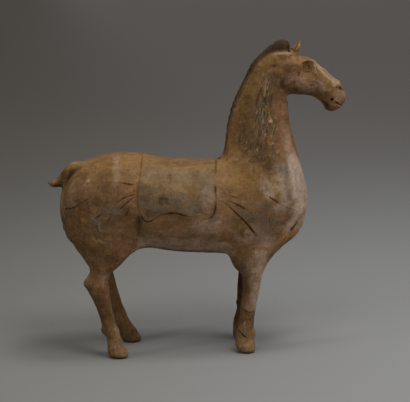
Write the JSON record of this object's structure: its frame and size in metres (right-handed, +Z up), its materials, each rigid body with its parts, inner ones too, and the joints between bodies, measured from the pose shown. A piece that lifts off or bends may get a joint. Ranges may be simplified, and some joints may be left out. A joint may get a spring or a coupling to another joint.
{
  "type": "chinese tomb horse",
  "caption": "Standing tomb horse of fired earthenware, with an arched neck, roached mane, docked tail and a saddle cloth drawn on its back.",
  "frame": {"origin": "on the ground under the middle of the figure's bounding box", "axes": "+X the way the horse faces, +Y its left side, +Z up"},
  "size_m": [0.526, 0.1616, 0.55],
  "materials": {
    "earthenware": "fired clay, matt, with worn slip and tomb earth"
  },
  "bodies": {
    "root": {"horse": "earthenware"}
  },
  "joints": []
}
